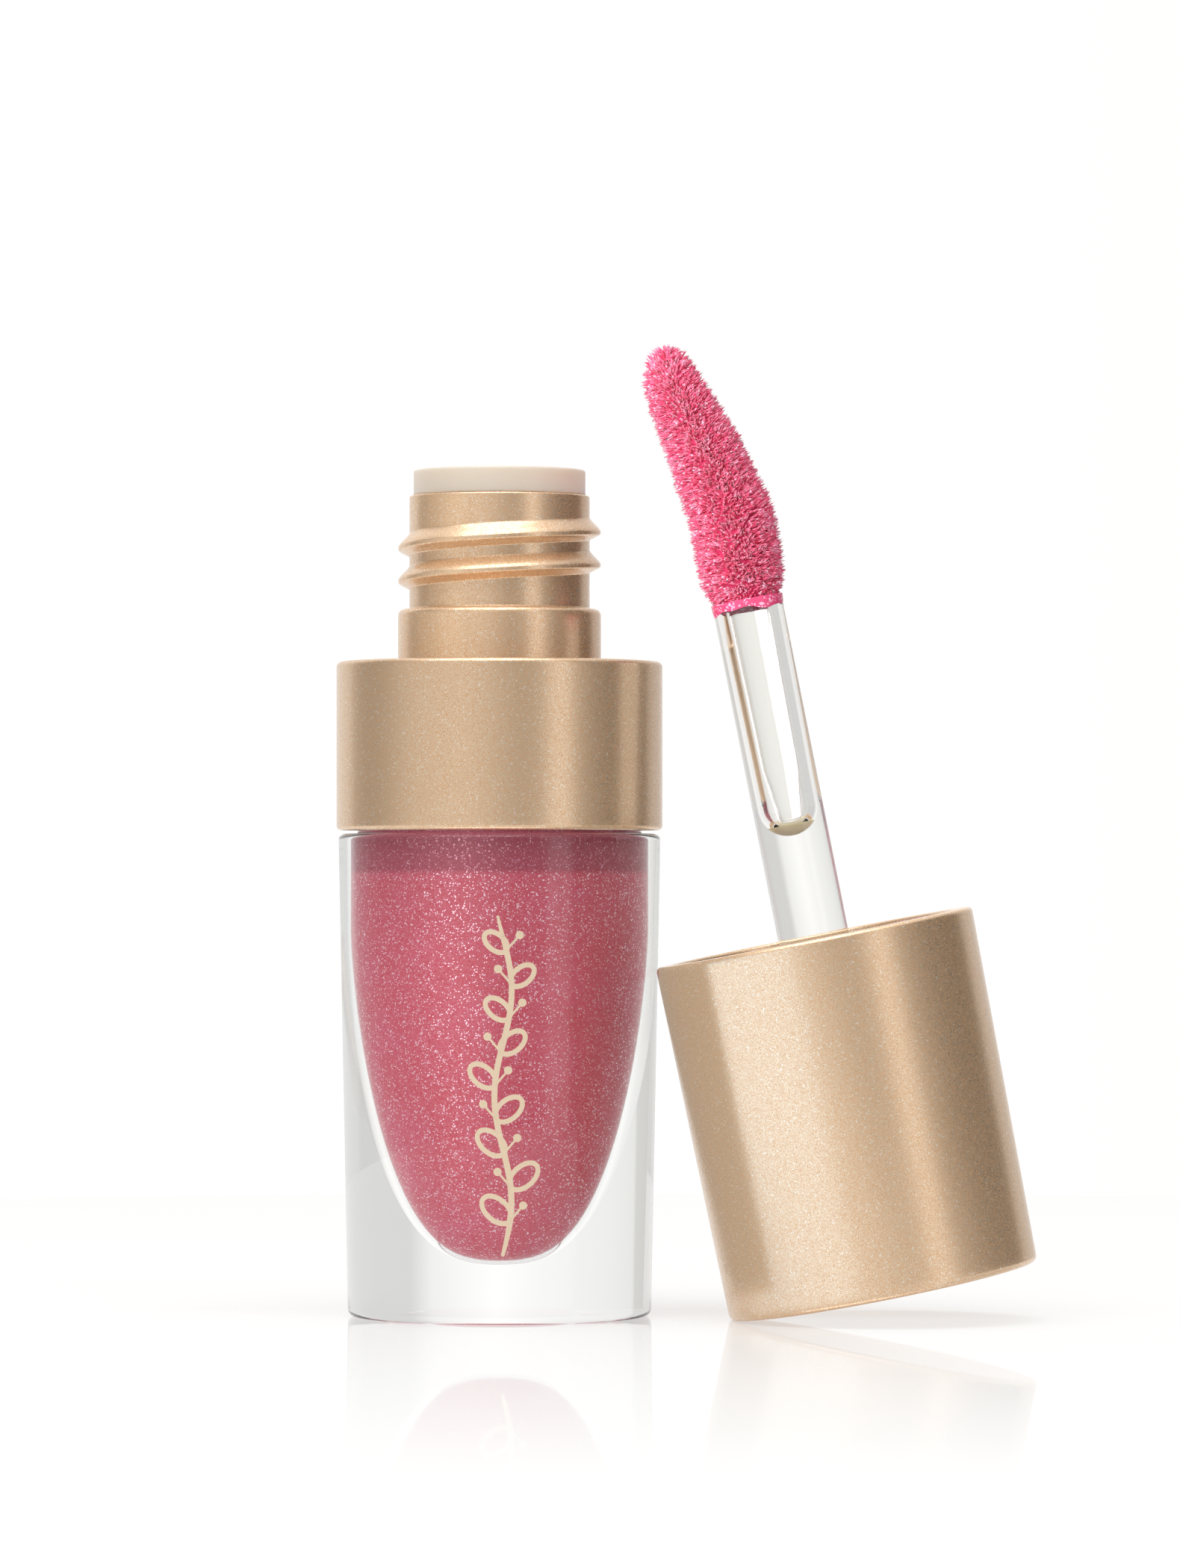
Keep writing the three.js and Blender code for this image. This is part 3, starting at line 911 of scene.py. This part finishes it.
def glue():
    n = Nodes("amber_glue")
    n.set(Base_Color=n.mix(n.noise(0.4), (0.66, 0.56, 0.38), (0.78, 0.69, 0.52)), Roughness=0.3, IOR=1.45)
    n.set(Subsurface_Weight=0.5, Subsurface_Radius=(1.0, 0.8, 0.5), Subsurface_Scale=0.0005)
    return n.material


def cream_ink():
    n = Nodes("cream_ink")
    mesh_marks = n.noise(0.14, 2)
    n.set(Base_Color=n.mix(mesh_marks, (0.82, 0.62, 0.42), (0.93, 0.76, 0.57)), Roughness=0.5)
    n.set(Normal=n.bump(mesh_marks, 0.004, 0.5))
    return n.material


def floor_white():
    """White acrylic, polished only in front of the object. Clear plastic shows no floor through it."""
    n = Nodes("studio_floor")
    n.set(Base_Color=n.mix(n.noise(120), (0.39, 0.39, 0.385), (0.41, 0.41, 0.405)), Roughness=0.9)
    n.set(Specular_IOR_Level=0.0, Emission_Color=(1, 1, 1, 1), Emission_Strength=0.58)
    place = n.add("ShaderNodeSeparateXYZ", {0: n.place})
    across = n.math("ABSOLUTE", n.math("SUBTRACT", place.outputs[0], STAGE_MIDDLE))
    polish = n.remap(place.outputs[1], -0.125, -0.01, 0, 0.36)
    polish = n.math("MULTIPLY", polish, n.remap(place.outputs[1], -0.004, 0.006, 1, 0))
    polish = n.math("MULTIPLY", polish, n.remap(across, 0.03, 0.045, 1, 0))
    mirror = n.add("ShaderNodeMixShader", {0: polish})
    n.put(mirror.inputs[1], n.shader.outputs[0])
    polished = n.add("ShaderNodeBsdfGlossy", {"Color": (1, 1, 1, 1), "Roughness": 0.02})
    n.put(mirror.inputs[2], polished.outputs[0])
    through = n.add("ShaderNodeLightPath").outputs["Is Transmission Ray"]
    hidden = n.add("ShaderNodeMixShader", {0: through})
    n.put(hidden.inputs[1], mirror.outputs[0])
    n.put(hidden.inputs[2], n.add("ShaderNodeBsdfTransparent").outputs[0])
    n.put(n.output.inputs["Surface"], hidden.outputs[0])
    return n.material


# ---- Pieces on their bodies ----------------------------------------------------------------------


def dress(piece, body, slot, material, *nodes):
    """Gives a piece its material and its body, and hides the CAD nodes that it stands for. The slot is not
    used.
    """
    piece.data.materials.append(material)
    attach(piece, body)
    if nodes:
        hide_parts(*nodes)


def build_object():
    gold = gold_paint()
    bottle_clear = clear_plastic("bottle_clear_plastic", (0.985, 0.992, 0.985), 1.5)
    rod_clear = clear_plastic("rod_clear_plastic", (0.98, 0.98, 0.965), 1.5)
    shank_clear = clear_plastic("shank_clear_plastic", (0.955, 0.955, 0.935), 1.4)
    wiper = milky_plastic("wiper_natural_plastic", (0.82, 0.71, 0.6), (0.86, 0.76, 0.65), 0.3, 0.5)
    liner = milky_plastic("liner_white_plastic", (0.88, 0.86, 0.82), (0.92, 0.9, 0.87), 0.4, 0.2)
    bottle = make_bottle()
    dress(bottle, "bottle", "clear_plastic", bottle_clear, "bottle_body")
    bottle.data.materials.append(clear_plastic("bottle_wetted_plastic", (0.985, 0.992, 0.985), 1.09))
    dress(make_gloss(), "bottle", "gloss_liquid", shimmer_gloss(), "gloss_fill")
    dress(make_neck(), "bottle", "gold_paint", gold, "neck_sleeve")
    dress(make_collar(), "bottle", "gold_paint", gold, "collar")
    dress(make_wiper(), "bottle", "wiper_plastic", wiper, "wiper")
    dress(make_ornament(), "bottle", "gold_paint", cream_ink())
    dress(make_cap_shell(), "cap", "gold_paint", gold, "cap_shell")
    dress(make_inner_cap(), "cap", "liner_plastic", liner, "inner_cap")
    dress(make_gasket(), "liner", "gasket_foam", foam(), "cap_gasket")
    dress(make_rod(), "cap", "clear_plastic", rod_clear, "applicator_rod")
    dress(make_shank(), "cap", "tip_plastic", shank_clear, "tip_core")
    dress(make_glue(), "cap", "tip_plastic", glue())
    dress(make_smear(), "cap", "flock", wet_smear())
    felt = make_felt()
    dress(felt, "cap", "flock", shaded_felt(), "tip_flock")
    fibres = make_fibres()
    dress(fibres, "cap", "flock", wet_flock())
    for piece in (felt, fibres):
        piece.visible_glossy = False


# ---- Studio --------------------------------------------------------------------------------------

# The camera's place in metres, its focal length in millimetres and its upward shift.
EYE = Vector((0.00574, -0.45, 0.0283))
LENS = 162.77
RISE = 0.05476

# Middle of the object from left to right, in metres.
STAGE_MIDDLE = 0.0115

# Brightness of the studio's ceiling, and the least that clear plastic shows through itself.
CEILING = 0.9
SEEN_THROUGH = 0.69


def make_floor():
    mesh = bpy.data.meshes.new("studio_floor")
    sides = 96
    size = 0.17
    turns = [2 * math.pi * i / sides for i in range(sides)]
    ring = [(0.01 + size * math.cos(turn), size * math.sin(turn), 0) for turn in turns]
    mesh.from_pydata(ring, [], [tuple(range(sides))])
    floor = bpy.data.objects.new("studio_floor", mesh)
    bpy.context.scene.collection.objects.link(floor)
    mesh.materials.append(floor_white())


def make_card():
    """A grey card between bottle and cap, edge on to the camera and only for reflections, so that
    they don't colour each other.
    """
    mesh = bpy.data.meshes.new("studio_card")
    middle, front, back = 0.0101, -0.0115, -0.002
    foot, top = 0.0005, 0.0302
    slope = (middle - EYE.x) / -EYE.y
    corners = []
    for depth, height in ((front, foot), (back, foot), (back, top), (front, top)):
        corners.append((middle + depth * slope, depth, height))
    mesh.from_pydata(corners, [], [(0, 1, 2, 3)])
    card = bpy.data.objects.new("studio_card", mesh)
    bpy.context.scene.collection.objects.link(card)
    n = Nodes("studio_card")
    n.set(Base_Color=(0, 0, 0, 1), Specular_IOR_Level=0.0)
    n.set(Emission_Color=(1, 0.92, 0.8, 1), Emission_Strength=0.45)
    mesh.materials.append(n.material)
    card.visible_camera = False
    card.visible_diffuse = False
    card.visible_transmission = False
    card.visible_shadow = False


# Brightness of the studio round the object, by degrees to the right of the camera's side.
STUDIO = [
    (-180, 1.05), (-165, 0.95), (-130, 0.86), (-124, 0.4), (-108, 0.26), (-95, 0.28),
    (-82, 0.4), (-64, 0.66), (-45, 0.76), (-25, 0.85), (-5, 0.62), (14, 0.32),
    (32, 0.36), (38, 1.2), (50, 1.2), (56, 0.36), (72, 0.18), (88, 0.04),
    (126, 0.02), (132, 0.62), (146, 0.66), (151, 0.62), (157, 0.72), (163, 0.9),
    (180, 1.05),
]


def make_world():
    """Walls of the studio as softboxes and dark flags. The camera sees only white round the object,
    and clear plastic shows at least a set brightness through itself.
    """
    world = bpy.data.worlds.new("studio")
    bpy.context.scene.world = world
    world.use_nodes = True
    nodes = world.node_tree.nodes
    links = world.node_tree.links

    def add(kind, *inputs, **settings):
        node = nodes.new(kind)
        for key, value in settings.items():
            setattr(node, key, value)
        for i, value in enumerate(inputs):
            if isinstance(value, bpy.types.NodeSocket):
                links.new(value, node.inputs[i])
            else:
                node.inputs[i].default_value = value
        return node

    way = add("ShaderNodeSeparateXYZ", add("ShaderNodeTexCoord").outputs[0])
    front = add("ShaderNodeMath", way.outputs[1], -1.0, operation="MULTIPLY")
    angle = add("ShaderNodeMath", way.outputs[0], front.outputs[0], operation="ARCTAN2")
    share = add("ShaderNodeMapRange", angle.outputs[0], -math.pi, math.pi, 0.0, 1.0)
    ramp = add("ShaderNodeValToRGB", share.outputs[0])
    stops = ramp.color_ramp.elements
    while len(stops) < len(STUDIO):
        stops.new(1.0)
    for stop, (degrees, level) in zip(stops, STUDIO):
        stop.position = (degrees + 180) / 360
        stop.color = (level, level, level, 1)
    high = add("ShaderNodeMapRange", way.outputs[2], 0.55, 0.82, 0.0, 1.0)
    raised = add("ShaderNodeMath", high.outputs[0], CEILING, operation="MULTIPLY")
    walls = add("ShaderNodeMath", ramp.outputs[0], raised.outputs[0], operation="MAXIMUM")
    path = add("ShaderNodeLightPath")
    clear_ray = path.outputs["Is Transmission Ray"]
    through = add("ShaderNodeMath", clear_ray, SEEN_THROUGH, operation="MULTIPLY")
    camera_ray = path.outputs["Is Camera Ray"]
    open_side = add("ShaderNodeMath", camera_ray, through.outputs[0], operation="MAXIMUM")
    level = add("ShaderNodeMath", walls.outputs[0], open_side.outputs[0], operation="MAXIMUM")
    links.new(level.outputs[0], nodes["Background"].inputs["Strength"])
    nodes["Background"].inputs["Color"].default_value = (1, 0.995, 0.985, 1)


def add_light(name, degrees, distance, size, level, height=0.0, only=None, tint=(1, 1, 1)):
    """A softbox round the object. It lights everything, or only pieces whose names begin with only."""
    aim = Vector((0.01, 0, 0.03))
    angle = math.radians(degrees)
    light = bpy.data.lights.new(name, "AREA")
    light.shape = "RECTANGLE"
    light.size, light.size_y = size
    light.energy = math.pi * size[0] * size[1] * level
    light.color = tint
    lamp = bpy.data.objects.new(name, light)
    lamp.location = aim + Vector((math.sin(angle) * distance, -math.cos(angle) * distance, height))
    lamp.rotation_euler = (aim - lamp.location).to_track_quat("-Z", "Y").to_euler()
    lamp.visible_camera = False
    bpy.context.scene.collection.objects.link(lamp)
    if only:
        lit = bpy.data.collections.new(name)
        for piece in bpy.data.objects:
            if piece.name.startswith(only):
                lit.objects.link(piece)
        lamp.light_linking.receiver_collection = lit
        lamp.light_linking.blocker_collection = lit


def make_lights():
    add_light("overhead", -30, 0.12, (0.45, 0.45), 2.2, height=0.5)
    add_light("cap_left", -66, 0.5, (1.15, 0.4), 0.64, only="cap_", tint=(0.48, 0.84, 1.26))
    add_light(
        "tip_front", -32, 0.5, (0.25, 0.25), 12, height=0.12,
        only="applicator_tip", tint=(1.04, 0.9, 1.0),
    )
    add_light("gloss_front", -38, 0.5, (0.5, 0.5), 0.84, only="gloss_")
    add_light("neck_left", -75, 0.5, (0.6, 0.4), 0.22, only="neck_", tint=(1.1, 0.95, 0.75))


def make_camera():
    """Level view along +Y from 450 mm in front, 28 mm above the floor, shifted up to frame it all."""
    camera = bpy.data.cameras.new("camera")
    camera.sensor_width = 36.0
    camera.lens = LENS
    camera.shift_y = RISE
    camera.clip_start = 0.01
    camera.clip_end = 20
    eye = bpy.data.objects.new("camera", camera)
    eye.location = EYE
    eye.rotation_euler = (math.pi / 2, 0, 0)
    bpy.context.scene.collection.objects.link(eye)
    bpy.context.scene.camera = eye


make_camera()
build_object()
make_floor()
make_card()
make_world()
make_lights()
bpy.context.scene.view_settings.view_transform = "Standard"
